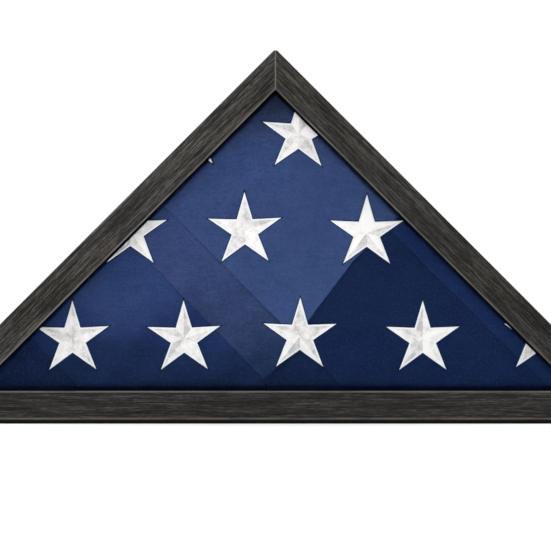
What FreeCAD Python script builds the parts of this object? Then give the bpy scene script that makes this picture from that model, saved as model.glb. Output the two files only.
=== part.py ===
"""Triangular display case for a folded flag: rabbeted face frame, deep box of three boards, glass,
hinged back door with a magnetic catch, two D-ring hangers, and the folded flag inside.

Row frame, millimetres: +X to the right seen from the front, +Y to the rear, +Z up.
The origin is the bottom centre of the bounding box, on the surface that the case stands on.
"""
import FreeCAD, Part
import math
import os

from FreeCAD import Vector

ROOT2 = math.sqrt(2.0)
X_AXIS, Y_AXIS, Z_AXIS = Vector(1, 0, 0), Vector(0, 1, 0), Vector(0, 0, 1)
UP_LEFT_SLOPE = Vector(1, 0, 1) / ROOT2      # along the left slope, towards the apex
INTO_LEFT_SLOPE = Vector(1, 0, -1) / ROOT2   # square to the left slope, into the case
FAR = 1000.0                                 # reach of a clipping solid

# ---- overall ----
HALF_WIDTH = 329.0       # centre line to where a slope would meet the underside of the base
TIP_TRIM = 1.5           # sharp corners are sanded back by this much
CASE_DEPTH = 90.0        # front face of the face frame to the rear edges of the boards
FELT_T = 1.8             # felt under the base, which carries the case
BUMPER_H = 5.0           # rubber bumpers behind the rear edges
Y_FRONT = -(CASE_DEPTH + BUMPER_H) / 2
Y_REAR = Y_FRONT + CASE_DEPTH

# ---- face frame ----
SIDE_FACE_W = 25.4
BASE_FACE_W = 27.0
FACE_T = 12.0
EASE_R = 1.5             # eased front edges
GLASS_RABBET_W = 6.4
LIP_T = 6.0              # wood left in front of the glass

# ---- glass and its beads ----
GLASS_T = 2.0
GLASS_GAP = 0.5
GLASS_CORNER_TRIM = 5.0
BEAD_W = 5.2
BEAD_T = 4.9
BEAD_GAP = 0.2
GLASS_BACK = LIP_T + GLASS_T            # depth of the glass's rear face behind the front
BEAD_FRONT = GLASS_BACK + 0.1
BEAD_BACK = BEAD_FRONT + BEAD_T

# ---- boards ----
BOARD_T = 18.0
STRIP_W = 13.5           # rear edge left outside the door recess
RECESS_D = 5.2
REAR_EASE = 1.2

# ---- back door ----
PANEL_T = 5.0
PANEL_FOOT_GAP = 0.6     # along the hinge edge
PANEL_SIDE_GAP = 0.8
PANEL_BEVEL = 1.6        # sloping edges lean in by this much at the front face
PANEL_TOE = 10.0         # sharp lower corners are cut back by this much
Y_PANEL_FRONT = Y_REAR - PANEL_T

# ---- butt hinges ----
HINGE_X = 150.0
HINGE_L = 38.0
LEAF_W = 11.0
LEAF_GAP = 0.2           # hinge axis to the edge of either leaf
LEAF_T = 1.0
KNUCKLE_R = 2.2
KNUCKLE_LIFT = 0.3       # knuckles stand clear of the wood
KNUCKLE_SPLIT = 7.0      # half length of the middle knuckle
KNUCKLE_GAP = 0.3
HINGE_PIN_R = 1.1
HINGE_PIN_PLAY = 0.06
HINGE_Y = Y_REAR + KNUCKLE_R + KNUCKLE_LIFT
HINGE_Z = FELT_T + STRIP_W + PANEL_FOOT_GAP / 2
HINGE_SCREW_X = 12.0     # from the middle of the hinge
HINGE_SCREW_DROP = 6.8   # from the hinge axis

# ---- magnetic catch at the apex ----
CATCH_DROP = 43.0        # apex of the boards to the middle of the magnet
CATCH_BLOCK_H = 30.0
CATCH_BLOCK_T = 12.0
STRIKE_R = 6.0
STRIKE_T = 1.2
MAGNET_R = 6.0
MAGNET_T = 4.0
MAGNET_GAP = 0.2
Z_APEX = FELT_T + HALF_WIDTH
Z_CATCH = Z_APEX - CATCH_DROP
Y_MAGNET_BACK = Y_PANEL_FRONT - STRIKE_T - MAGNET_GAP

# ---- pull tab ----
TAB_W = 10.0
TAB_L = 26.0
TAB_T = 1.6
TAB_DROP = 70.0          # apex of the boards to the rivet
RIVET_HEAD_R = 3.4
RIVET_HEAD_T = 0.8
RIVET_R = 1.2
RIVET_TAIL_R = 2.4
RIVET_TAIL_T = 0.6

# ---- D-ring hangers ----
HANGER_DOWN = 150.0      # apex to the loop, along the slope
RING_WIRE_R = 0.9
RING_HALF_W = 5.2        # to the wire's centre line
RING_CORNER_R = 1.6
RING_LEG = 4.5           # loop axis to the start of the round end
LOOP_PLAY = 0.06
STRAP_T = 0.8
STRAP_W = 6.4
LOOP_R = RING_WIRE_R + LOOP_PLAY + STRAP_T
LOOP_LIFT = LOOP_R + 0.04
STRAP_SCREW_AT = 14.0    # from the loop axis

# ---- folded flag ----
FLAG_GAP = 0.5           # to the boards
FLAG_SHOULDER = 14.0     # depth of the flag's edge behind the front
FLAG_CROWN = 9.4         # depth of its middle, just behind the glass
FLAG_BACK_GAP = 2.0
CROWN_FOOT_SIDE = 1.2    # crown starts this far inside the sight opening
CROWN_FOOT_BASE = 3.0
CROWN_SLOPE = 26.0       # width of the crown's sloping border
BLOCK_CLEARANCE = 1.5


def triangle(side, base):
    """Left, right and top corner of the case's triangle, inset from the slopes and the base."""
    half = HALF_WIDTH - side * ROOT2 - base
    foot = FELT_T + base
    return Vector(-half, 0, foot), Vector(half, 0, foot), Vector(0, 0, foot + half)


def prism(points, y0, y1):
    """Solid between depths y0 and y1 whose outline in the X-Z plane is the given points."""
    ring = [Vector(p.x, y0, p.z) for p in points]
    face = Part.Face(Part.makePolygon(ring + ring[:1]))
    return face.extrude(Vector(0, y1 - y0, 0))


def cylinder(radius, length, start, direction):
    return Part.makeCylinder(radius, length, start, direction)


def mirrored(shape):
    return shape.mirror(Vector(0, 0, 0), X_AXIS)


def both_sides(shape):
    return [shape, mirrored(shape)]


def cut_all(shape, tools):
    for tool in tools:
        shape = shape.cut(tool)
    return shape


def trim_tips(shape):
    """Sands back the three sharp corners of the outer triangle."""
    width = 2 * (HALF_WIDTH - TIP_TRIM)
    room = Part.makeBox(width, FAR, HALF_WIDTH - TIP_TRIM, Vector(-width / 2, -FAR / 2, FELT_T))
    return shape.common(room)


def bar(corner, along, inward, outline):
    """Long bar along one edge of the case, from an outline of (inset, depth) points. An entry
    (inset, depth, end) is an arc that passes through (inset, depth) and ends at the point end."""
    overrun = 20.0
    origin = corner - along * overrun

    def place(point):
        return origin + inward * point[0] + Y_AXIS * (Y_FRONT + point[1])

    edges = []
    here = outline[0]
    for step in outline[1:] + outline[:1]:
        if len(step) == 3:
            edges.append(Part.Arc(place(here), place(step[:2]), place(step[2])).toShape())
            here = step[2]
        else:
            edges.append(Part.makeLine(place(here), place(step)))
            here = step
    return Part.Face(Part.Wire(edges)).extrude(along * 2 * (HALF_WIDTH + overrun))


def mitre_zone(outer_a, inner_a, outer_b, inner_b):
    """Clipping solid between two mitre planes, each through an outer and an inner corner."""
    reach = 0.3
    points = [
        outer_a - (inner_a - outer_a) * reach,
        outer_b - (inner_b - outer_b) * reach,
        inner_b + (inner_b - outer_b) * reach,
        inner_a + (inner_a - outer_a) * reach,
    ]
    return prism(points, -FAR / 2, FAR / 2)


def face_rail_outline(width):
    """Cross-section of a face rail: eased front edges and a rabbet for the glass behind."""
    r = EASE_R
    bulge = r * (1 - 1 / ROOT2)
    rabbet = width - GLASS_RABBET_W
    return [
        (0, r),
        (bulge, bulge, (r, 0)),
        (width - r, 0),
        (width - bulge, bulge, (width, r)),
        (width, LIP_T),
        (rabbet, LIP_T),
        (rabbet, FACE_T),
        (0, FACE_T),
    ]


def board_outline():
    """Cross-section of a box board, with its outer rear edge eased."""
    r = REAR_EASE
    bulge = r * (1 - 1 / ROOT2)
    return [
        (0, FACE_T),
        (BOARD_T, FACE_T),
        (BOARD_T, CASE_DEPTH),
        (r, CASE_DEPTH),
        (bulge, CASE_DEPTH - bulge, (0, CASE_DEPTH - r)),
    ]


def make_face_rails():
    left_o, right_o, top_o = triangle(0, 0)
    left_i, right_i, top_i = triangle(SIDE_FACE_W, BASE_FACE_W)
    slope = bar(left_o, UP_LEFT_SLOPE, INTO_LEFT_SLOPE, face_rail_outline(SIDE_FACE_W))
    left = trim_tips(slope.common(mitre_zone(left_o, left_i, top_o, top_i)))
    level = bar(left_o, X_AXIS, Z_AXIS, face_rail_outline(BASE_FACE_W))
    base = trim_tips(level.common(mitre_zone(left_o, left_i, right_o, right_i)))
    return left, base


def make_boards():
    """Side board standing on the base board, and the base board with its bevelled ends."""
    left_o, right_o, top_o = triangle(0, 0)
    recess = prism(triangle(STRIP_W, STRIP_W), Y_REAR - RECESS_D, Y_REAR + 1)
    z_top = FELT_T + BOARD_T
    slope = bar(left_o, UP_LEFT_SLOPE, INTO_LEFT_SLOPE, board_outline())
    quarter = Part.makeBox(FAR, FAR, FAR, Vector(-FAR, -FAR / 2, z_top))
    left = trim_tips(slope.common(quarter)).cut(recess)
    level = bar(left_o, X_AXIS, Z_AXIS, board_outline())
    base = trim_tips(level.common(prism([left_o, right_o, top_o], -FAR / 2, FAR / 2))).cut(recess)
    return left, base


def make_glass():
    pane = prism(
        triangle(
            SIDE_FACE_W - GLASS_RABBET_W + GLASS_GAP, BASE_FACE_W - GLASS_RABBET_W + GLASS_GAP
        ),
        Y_FRONT + LIP_T,
        Y_FRONT + GLASS_BACK,
    )
    half = pane.BoundBox.XMax - GLASS_CORNER_TRIM
    room = Part.makeBox(2 * half, FAR, FAR, Vector(-half, -FAR / 2, 0))
    return pane.common(room)


def make_beads():
    """Mitred strips that hold the glass in its rabbet, just out of sight from the front."""
    side = SIDE_FACE_W - GLASS_RABBET_W + BEAD_GAP
    base = BASE_FACE_W - GLASS_RABBET_W + BEAD_GAP
    left_o, right_o, top_o = triangle(side, base)
    left_i, right_i, top_i = triangle(side + BEAD_W, base + BEAD_W)
    span = Y_FRONT + BEAD_FRONT, Y_FRONT + BEAD_BACK
    return prism([left_o, top_o, top_i, left_i], *span), prism([left_o, right_o, right_i, left_i], *span)


def make_vnails():
    """Bent steel wedges across the mitres, two at each corner, sunk flush in the rails' backs."""
    wing, thick, depth = 3.5, 0.5, 7.0
    outer, inner = triangle(0, 0), triangle(SIDE_FACE_W, BASE_FACE_W)
    places = {0: (0.30, 0.58), 1: (0.30, 0.58), 2: (0.30, 0.62)}
    nails = []
    for corner, shares in places.items():
        along = (inner[corner] - outer[corner]).normalize()
        across = Y_AXIS.cross(along)
        for share in shares:
            tip = outer[corner] + (inner[corner] - outer[corner]) * share
            outline = [
                tip,
                tip + (along + across) * wing,
                tip + (along + across) * wing + along * thick * ROOT2,
                tip + along * thick * ROOT2,
                tip + (along - across) * wing + along * thick * ROOT2,
                tip + (along - across) * wing,
            ]
            back = Y_FRONT + FACE_T
            nails.append(prism(outline, back - depth, back))
    return nails


def rail_places(count, inset):
    """Points along the left slope and along the base, at one inset from the outer edges."""
    left, right, top = triangle(inset, inset)
    slope = [left + (top - left) * ((i + 0.5) / count) for i in range(count)]
    level = [left + (right - left) * ((i + 0.5) / count) for i in range(count)]
    return slope, level


def make_face_brads():
    """Headless brads through the face frame into the boards, set under filler."""
    radius, length, set_depth, inset = 0.6, 24.0, 1.0, 9.0
    slope, level = rail_places(3, inset)
    rows = []
    for places in (slope, level):
        rows.append(
            [cylinder(radius, length, Vector(p.x, Y_FRONT + set_depth, p.z), Y_AXIS) for p in places]
        )
    return rows


def make_bead_pins():
    """Fine pins through each bead into the wall of the rabbet."""
    radius, length = 0.5, 11.0
    depth = Y_FRONT + BEAD_FRONT + 2.4
    slope, level = rail_places(3, SIDE_FACE_W - GLASS_RABBET_W + BEAD_GAP + BEAD_W)
    base_z = FELT_T + BASE_FACE_W - GLASS_RABBET_W + BEAD_GAP + BEAD_W
    side_pins = [
        cylinder(radius, length, Vector(p.x, depth, p.z), -INTO_LEFT_SLOPE) for p in slope
    ]
    base_pins = [cylinder(radius, length, Vector(p.x, depth, base_z), -Z_AXIS) for p in level]
    return side_pins, base_pins


def countersunk_screw(head, into, head_r, shank_r, length):
    """Flat-head screw with a cross recess, and its plain envelope for cutting its hole."""
    head_h = head_r - shank_r
    tip_h = 2 * shank_r
    cone = Part.makeCone(head_r, shank_r, head_h, head, into)
    shank = cylinder(shank_r, length - head_h - tip_h, head + into * head_h, into)
    tip = Part.makeCone(shank_r, shank_r * 0.15, tip_h, head + into * (length - tip_h), into)
    envelope = cone.fuse([shank, tip]).removeSplitter()
    return cross_recess(envelope, head, into, head_r * 1.2, head_r * 0.24, head_h * 0.8), envelope


def pan_screw(seat, into, head_r, head_h, shank_r, length):
    """Round-edged pan-head screw seated on a face, and its envelope."""
    disc = cylinder(head_r, head_h, seat - into * head_h, into)
    rim = [e for e in disc.Edges if e.Curve.TypeId == "Part::GeomCircle"]
    rim = [e for e in rim if (e.Curve.Center - seat).dot(into) < -head_h / 2]
    dome = disc.makeFillet(head_h * 0.45, rim)
    tip_h = 2 * shank_r
    shank = cylinder(shank_r, length - tip_h, seat, into)
    tip = Part.makeCone(shank_r, shank_r * 0.15, tip_h, seat + into * (length - tip_h), into)
    envelope = dome.fuse([shank, tip]).removeSplitter()
    top = seat - into * head_h
    return cross_recess(envelope, top, into, head_r * 1.2, head_r * 0.22, head_h * 0.6), envelope


def cross_recess(shape, top, into, span, width, depth):
    """Cuts the screwdriver's cross into the top of a head."""
    side = X_AXIS if abs(into.dot(X_AXIS)) < 0.5 else Y_AXIS
    other = into.cross(side)
    for u, v in ((side, other), (other, side)):
        corner = top - u * span / 2 - v * width / 2 - into * 0.2
        ring = [corner, corner + u * span, corner + u * span + v * width, corner + v * width]
        blade = Part.Face(Part.makePolygon(ring + ring[:1])).extrude(into * (depth + 0.2))
        shape = shape.cut(blade)
    return shape


def make_base_screws():
    """Screws up through the base board into the feet of the side boards, left pair first."""
    foot_x, depths = 292.0, (-18.0, 22.0)
    head_r, shank_r, length = 3.6, 1.75, 32.0
    places = [Vector(x, y, FELT_T) for x in (-foot_x, foot_x) for y in depths]
    return [countersunk_screw(p, Z_AXIS, head_r, shank_r, length) for p in places]


def make_apex_nails():
    """Nails square to the left slope, through the apex mitre into the right board."""
    radius, head_r, length, head_h = 0.9, 1.6, 36.0, 0.8
    down, set_depth, depths = 9.0, 0.5, (-25.0, 5.0, 30.0)
    nails = []
    for y in depths:
        start = Vector(0, y, Z_APEX) - UP_LEFT_SLOPE * down + INTO_LEFT_SLOPE * set_depth
        head = cylinder(head_r, head_h, start, INTO_LEFT_SLOPE)
        nails.append(head.fuse(cylinder(radius, length, start, INTO_LEFT_SLOPE)).removeSplitter())
    return nails


def loft(corners_a, y_a, corners_b, y_b):
    """Solid between two triangles that lie at different depths."""
    rings = []
    for corners, y in ((corners_a, y_a), (corners_b, y_b)):
        points = [Vector(p.x, y, p.z) for p in corners]
        rings.append(Part.makePolygon(points + points[:1]))
    return Part.makeLoft(rings, True, True)


def make_back_panel():
    """Door panel. The bevel on its sloping edges lets it swing out past the side boards."""
    foot = STRIP_W + PANEL_FOOT_GAP
    side = STRIP_W + PANEL_SIDE_GAP
    rear = triangle(side, foot)
    panel = loft(triangle(side + PANEL_BEVEL, foot), Y_PANEL_FRONT, rear, Y_REAR)
    half = rear[1].x - PANEL_TOE
    room = Part.makeBox(2 * half, FAR, FAR, Vector(-half, -FAR / 2, 0))
    return panel.common(room)


def knuckle_spans():
    """Start and length along the hinge of the case leaf's knuckles, then the door leaf's."""
    outer = HINGE_L / 2 - KNUCKLE_SPLIT - KNUCKLE_GAP
    case = [(-HINGE_L / 2, outer), (KNUCKLE_SPLIT + KNUCKLE_GAP, outer)]
    door = [(-KNUCKLE_SPLIT, 2 * KNUCKLE_SPLIT)]
    return case, door


def make_leaf(middle_x, spans, others, up, bore_r):
    """One hinge leaf: a plate on the wood and its knuckles, notched round the other leaf's."""
    low = LEAF_GAP if up > 0 else -LEAF_W
    corner = Vector(middle_x - HINGE_L / 2, Y_REAR, HINGE_Z + low)
    plate = Part.makeBox(HINGE_L, LEAF_T, LEAF_W - LEAF_GAP, corner)
    notch_h = KNUCKLE_R + 0.5
    for start, length in others:
        corner = Vector(
            middle_x + start - KNUCKLE_GAP, Y_REAR - 1, HINGE_Z + (0 if up > 0 else -notch_h)
        )
        plate = plate.cut(Part.makeBox(length + 2 * KNUCKLE_GAP, LEAF_T + 2, notch_h, corner))
    for start, length in spans:
        at = Vector(middle_x + start, HINGE_Y, HINGE_Z)
        plate = plate.fuse(cylinder(KNUCKLE_R, length, at, X_AXIS))
    bore = cylinder(bore_r, FAR, Vector(-FAR / 2, HINGE_Y, HINGE_Z), X_AXIS)
    return plate.cut(bore).removeSplitter()


def make_hinge(middle_x):
    """Leaves, pin and screws of one butt hinge, with the screw envelopes for their holes."""
    case_spans, door_spans = knuckle_spans()
    case_leaf = make_leaf(middle_x, case_spans, door_spans, -1, HINGE_PIN_R)
    door_leaf = make_leaf(middle_x, door_spans, case_spans, 1, HINGE_PIN_R + HINGE_PIN_PLAY)
    pin = cylinder(HINGE_PIN_R, HINGE_L, Vector(middle_x - HINGE_L / 2, HINGE_Y, HINGE_Z), X_AXIS)
    screws = {}
    for name, drop, length in (("case", -HINGE_SCREW_DROP, 11.0), ("door", HINGE_SCREW_DROP, 5.2)):
        heads = [
            Vector(middle_x + dx, Y_REAR + LEAF_T, HINGE_Z + drop)
            for dx in (-HINGE_SCREW_X, HINGE_SCREW_X)
        ]
        screws[name] = [countersunk_screw(h, -Y_AXIS, 2.0, 1.0, length) for h in heads]
    case_leaf = cut_all(case_leaf, [e for _, e in screws["case"]])
    door_leaf = cut_all(door_leaf, [e for _, e in screws["door"]])
    return case_leaf, door_leaf, pin, screws


def make_catch():
    """Corner block with its magnet, and the steel strike on the door with its screw."""
    top = triangle(BOARD_T, BOARD_T)[2]
    low = top.z - CATCH_BLOCK_H
    corners = [Vector(-CATCH_BLOCK_H, 0, low), Vector(CATCH_BLOCK_H, 0, low), top]
    block = prism(corners, Y_MAGNET_BACK - CATCH_BLOCK_T, Y_MAGNET_BACK)
    magnet = cylinder(
        MAGNET_R, MAGNET_T, Vector(0, Y_MAGNET_BACK - MAGNET_T, Z_CATCH), Y_AXIS
    )
    strike = cylinder(STRIKE_R, STRIKE_T, Vector(0, Y_PANEL_FRONT - STRIKE_T, Z_CATCH), Y_AXIS)
    screw, hole = countersunk_screw(
        Vector(0, Y_PANEL_FRONT - STRIKE_T, Z_CATCH), Y_AXIS, 2.4, 1.2, 5.4
    )
    return block.cut(magnet), magnet, strike.cut(hole), screw, hole


def make_pull_tab():
    """Doubled webbing tab on the door's rear face, and the rivet through it."""
    z_rivet = Z_APEX - TAB_DROP
    strap = Part.makeBox(TAB_W, TAB_T, TAB_L - TAB_W, Vector(-TAB_W / 2, Y_REAR, z_rivet - TAB_W / 2))
    z_end = z_rivet - TAB_W / 2 + TAB_L - TAB_W
    strap = strap.fuse(cylinder(TAB_W / 2, TAB_T, Vector(0, Y_REAR, z_end), Y_AXIS)).removeSplitter()
    head = cylinder(RIVET_HEAD_R, RIVET_HEAD_T, Vector(0, Y_REAR + TAB_T, z_rivet), Y_AXIS)
    shank = cylinder(RIVET_R, TAB_T + PANEL_T, Vector(0, Y_PANEL_FRONT, z_rivet), Y_AXIS)
    tail = cylinder(
        RIVET_TAIL_R, RIVET_TAIL_T, Vector(0, Y_PANEL_FRONT - RIVET_TAIL_T, z_rivet), Y_AXIS
    )
    rivet = shank.fuse([head, tail]).removeSplitter()
    return strap.cut(shank), rivet, shank


def hanger_point(along, lift):
    """Point on the left hanger: down the slope from its loop axis, and out from the rear edge."""
    inset = STRIP_W / 2
    start = Vector(0, Y_REAR + lift, Z_APEX) - UP_LEFT_SLOPE * HANGER_DOWN
    return start + INTO_LEFT_SLOPE * inset - UP_LEFT_SLOPE * along


def make_hanger_strap():
    """Steel strap with the loop that carries the ring, and its pan-head screw."""
    axis, down = INTO_LEFT_SLOPE, -UP_LEFT_SLOPE
    corner = hanger_point(0, 0) - axis * STRAP_W / 2
    ring = [
        corner,
        corner + axis * STRAP_W,
        corner + axis * STRAP_W + down * STRAP_SCREW_AT,
        corner + down * STRAP_SCREW_AT,
    ]
    plate = Part.Face(Part.makePolygon(ring + ring[:1])).extrude(Y_AXIS * STRAP_T)
    end = cylinder(STRAP_W / 2, STRAP_T, hanger_point(STRAP_SCREW_AT, 0), Y_AXIS)
    loop_start = hanger_point(0, LOOP_LIFT) - axis * STRAP_W / 2
    roll = cylinder(LOOP_R, STRAP_W, loop_start, axis)
    bore = cylinder(RING_WIRE_R + LOOP_PLAY, STRAP_W + 2, loop_start - axis, axis)
    screw, hole = pan_screw(hanger_point(STRAP_SCREW_AT, STRAP_T), -Y_AXIS, 2.3, 1.4, 1.2, 13.0)
    strap = plate.fuse([end, roll]).cut(bore).cut(hole).removeSplitter()
    return strap, screw, hole


def make_hanger_ring():
    """D-shaped ring of round wire, hanging down the slope from the loop axis."""
    axis, down = INTO_LEFT_SLOPE, -UP_LEFT_SLOPE
    centre = hanger_point(0, LOOP_LIFT)
    w, c = RING_HALF_W, RING_CORNER_R
    bend = c * (1 - 1 / ROOT2)

    def at(across, along):
        return centre + axis * across + down * along

    edges = [
        Part.makeLine(at(-w + c, 0), at(w - c, 0)),
        Part.Arc(at(w - c, 0), at(w - bend, bend), at(w, c)).toShape(),
        Part.makeLine(at(w, c), at(w, RING_LEG)),
        Part.Arc(at(w, RING_LEG), at(0, RING_LEG + w), at(-w, RING_LEG)).toShape(),
        Part.makeLine(at(-w, RING_LEG), at(-w, c)),
        Part.Arc(at(-w, c), at(-w + bend, bend), at(-w + c, 0)).toShape(),
    ]
    path = Part.Wire(edges)
    section = Part.Wire(Part.makeCircle(RING_WIRE_R, at(-w + c, 0), axis))
    return path.makePipeShell([section], True, True)


def make_bumpers():
    """Rubber bumpers on the rear edges, one near each corner."""
    base_r, top_r, ease = 5.0, 4.2, 0.8
    foot_x, apex_drop = 285.0, 9.5
    places = [
        Vector(-foot_x, Y_REAR, FELT_T + STRIP_W / 2),
        Vector(foot_x, Y_REAR, FELT_T + STRIP_W / 2),
        Vector(0, Y_REAR, Z_APEX - apex_drop),
    ]
    bumpers = []
    for place in places:
        cone = Part.makeCone(base_r, top_r, BUMPER_H, place, Y_AXIS)
        circles = [e for e in cone.Edges if e.Curve.TypeId == "Part::GeomCircle"]
        rim = [e for e in circles if e.Curve.Radius < (base_r + top_r) / 2]
        bumpers.append(cone.makeFillet(ease, rim))
    return bumpers


def make_felt():
    """Felt strip under the base board, a little inside its outline."""
    half, margin = 318.0, 1.0
    return Part.makeBox(2 * half, CASE_DEPTH - 2 * margin, FELT_T, Vector(-half, Y_FRONT + margin, 0))


def make_flag():
    """Plain outer shape of the folded flag: a thick triangle with a low crown behind the glass."""
    inset = BOARD_T + FLAG_GAP
    back = Y_PANEL_FRONT - FLAG_BACK_GAP
    body = prism(triangle(inset, inset), Y_FRONT + FLAG_SHOULDER, back)
    foot = triangle(SIDE_FACE_W + CROWN_FOOT_SIDE, BASE_FACE_W + CROWN_FOOT_BASE)
    crest = triangle(SIDE_FACE_W + CROWN_SLOPE, BASE_FACE_W + CROWN_SLOPE)
    crown = loft(foot, Y_FRONT + FLAG_SHOULDER, crest, Y_FRONT + FLAG_CROWN)
    notch_z = Z_APEX - BOARD_T * ROOT2 - CATCH_BLOCK_H - BLOCK_CLEARANCE
    notch_y = Y_MAGNET_BACK - CATCH_BLOCK_T - BLOCK_CLEARANCE
    notch = Part.makeBox(FAR, FAR, FAR, Vector(-FAR / 2, notch_y, notch_z))
    return body.fuse(crown).cut(notch).removeSplitter()


def build():
    """Every node's solids, by node name."""
    face_left, face_base = make_face_rails()
    board_left, board_base = make_boards()
    bead_left, bead_base = make_beads()
    vnails = make_vnails()
    side_brads, base_brads = make_face_brads()
    side_pins, base_pins = make_bead_pins()
    base_screws = make_base_screws()
    apex_nails = make_apex_nails()
    block, magnet, strike, strike_screw, strike_hole = make_catch()
    tab, rivet, rivet_shank = make_pull_tab()
    strap, strap_screw, strap_hole = make_hanger_strap()
    ring = make_hanger_ring()
    hinges = {"left": make_hinge(-HINGE_X), "right": make_hinge(HINGE_X)}

    base_holes = [hole for _, hole in base_screws]
    case_holes = [hole for h in hinges.values() for _, hole in h[3]["case"]]
    door_holes = [hole for h in hinges.values() for _, hole in h[3]["door"]]
    right_brads = [mirrored(b) for b in side_brads]
    right_pins = [mirrored(p) for p in side_pins]
    right_hole = mirrored(strap_hole)

    nodes = {
        "face_rail_left": [cut_all(face_left, vnails + side_brads + side_pins)],
        "face_rail_right": [cut_all(mirrored(face_left), vnails + right_brads + right_pins)],
        "face_rail_base": [cut_all(face_base, vnails + base_brads + base_pins)],
        "side_board_left": [
            cut_all(board_left, side_brads + base_holes[:2] + apex_nails + [strap_hole])
        ],
        "side_board_right": [
            cut_all(mirrored(board_left), right_brads + base_holes[2:] + apex_nails + [right_hole])
        ],
        "base_board": [cut_all(board_base, base_brads + base_holes + case_holes)],
        "glass_pane": [make_glass()],
        "glass_bead_left": [cut_all(bead_left, side_pins)],
        "glass_bead_right": [cut_all(mirrored(bead_left), right_pins)],
        "glass_bead_base": [cut_all(bead_base, base_pins)],
        "mitre_vnails": vnails,
        "face_brads": side_brads + right_brads + base_brads,
        "bead_pins": side_pins + right_pins + base_pins,
        "base_screws": [screw for screw, _ in base_screws],
        "apex_nails": apex_nails,
        "catch_block": [block],
        "catch_magnet": [magnet],
        "folded_flag": [make_flag()],
        "base_felt": [make_felt()],
        "wall_bumpers": make_bumpers(),
        "hanger_strap_left": [strap],
        "hanger_strap_right": [mirrored(strap)],
        "hanger_screws": both_sides(strap_screw),
        "hanger_ring_left": [ring],
        "hanger_ring_right": [mirrored(ring)],
        "back_panel": [cut_all(make_back_panel(), door_holes + [strike_hole, rivet_shank])],
        "strike_plate": [strike],
        "strike_screw": [strike_screw],
        "pull_tab": [tab],
        "pull_tab_rivet": [rivet],
    }
    for side, (case_leaf, door_leaf, pin, screws) in hinges.items():
        nodes[f"hinge_case_leaf_{side}"] = [case_leaf]
        nodes[f"hinge_door_leaf_{side}"] = [door_leaf]
        nodes[f"hinge_pin_{side}"] = [pin]
        nodes[f"hinge_case_screws_{side}"] = [screw for screw, _ in screws["case"]]
        nodes[f"hinge_door_screws_{side}"] = [screw for screw, _ in screws["door"]]
    return nodes


def main():
    os.makedirs("parts", exist_ok=True)
    for name, solids in build().items():
        parts = [s for solid in solids for s in solid.Solids]
        for part in parts:
            if not part.isValid() or part.Volume <= 0:
                raise ValueError(f"{name} has a solid that isn't sound")
        shape = parts[0] if len(parts) == 1 else Part.makeCompound(parts)
        shape.exportStep(f"parts/{name}.step")
        box = shape.BoundBox
        print(f"{name}: {len(parts)} solids, {box.XLength:.1f} x {box.YLength:.1f} x {box.ZLength:.1f}")


main()
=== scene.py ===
"""Looks of the folded flag display case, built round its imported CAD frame.

Row frame in metres: +X right, +Y to the rear, +Z up. The glass faces -Y.
"""
import math
import random

import bmesh
import bpy
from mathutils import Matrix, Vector, noise
from mathutils.bvhtree import BVHTree


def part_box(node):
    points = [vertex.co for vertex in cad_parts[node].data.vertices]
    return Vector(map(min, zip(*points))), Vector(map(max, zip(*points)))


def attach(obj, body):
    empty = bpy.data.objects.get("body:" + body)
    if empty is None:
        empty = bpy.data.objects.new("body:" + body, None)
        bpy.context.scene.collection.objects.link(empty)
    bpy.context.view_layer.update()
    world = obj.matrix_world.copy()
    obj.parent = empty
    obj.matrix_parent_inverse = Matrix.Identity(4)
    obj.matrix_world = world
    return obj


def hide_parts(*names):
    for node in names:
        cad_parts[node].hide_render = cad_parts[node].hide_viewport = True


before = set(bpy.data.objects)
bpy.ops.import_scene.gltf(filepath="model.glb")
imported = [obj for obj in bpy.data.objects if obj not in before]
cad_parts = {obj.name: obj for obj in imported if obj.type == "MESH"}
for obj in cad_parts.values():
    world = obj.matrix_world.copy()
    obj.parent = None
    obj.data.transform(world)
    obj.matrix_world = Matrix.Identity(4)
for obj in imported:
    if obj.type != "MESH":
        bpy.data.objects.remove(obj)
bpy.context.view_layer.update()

MM = 0.001
ROOT2 = math.sqrt(2.0)

# ------------------------------------------------------------------ the case, from the frame
BODY = "case"                          # the body that carries the flag
TIP_TRIM = 1.5 * MM                    # cut off each sharp lower tip
SIDE_FACE = 25.4 * MM                  # face width of the slanting rails
rail_lo, rail_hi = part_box("face_rail_base")
glass_back_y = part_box("glass_pane")[1].y
flag_back_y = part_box("folded_flag")[1].y
block_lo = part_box("catch_block")[0]
HALF = rail_hi.x + TIP_TRIM            # half the width of the sharp triangle
FOOT_Z = rail_lo.z
APEX_Z = FOOT_Z + HALF
FRONT_Y = rail_lo.y
BASE_FACE = rail_hi.z - rail_lo.z      # face width of the base rail
LEFT, RIGHT, BASE = range(3)           # the rails, in the order of their insets

# ------------------------------------------------------------------ the folded flag
CROWN_SIDE = SIDE_FACE + 1.2 * MM      # inset of the crown's foot from a slope
CROWN_BASE = BASE_FACE + 2.4 * MM      # and from the base
FLAG_INSET = 18.9 * MM                 # inset of the flag's sides
FLAG_CORNER_R = 7 * MM                 # rounding of the flag's corners
FLAG_MIDDLE_Z = FOOT_Z + 120 * MM      # about the middle of its height
LAYER = 0.75 * MM                      # step from one pressed fold to the next
LEVEL_Y = glass_back_y + 3.7 * MM      # the lowest fold that the glass shows
ROLL_W = 4.0 * MM                      # width of the rounding at the crown's edge
ROLL_D = 2.7 * MM                      # how far the surface falls back there
BACK_Y = flag_back_y - 1.6 * MM        # the flag's rear, short of the room it has
FOLD_ROWS = (0.08, 0.25, 0.55, 1.0, 1.6, 2.6)   # rows of points inside a rounded fold, in mm
FOOT_ROWS = (0.0, 0.4, 1.0, 2.0, 3.4)           # and inside the crown's foot

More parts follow.
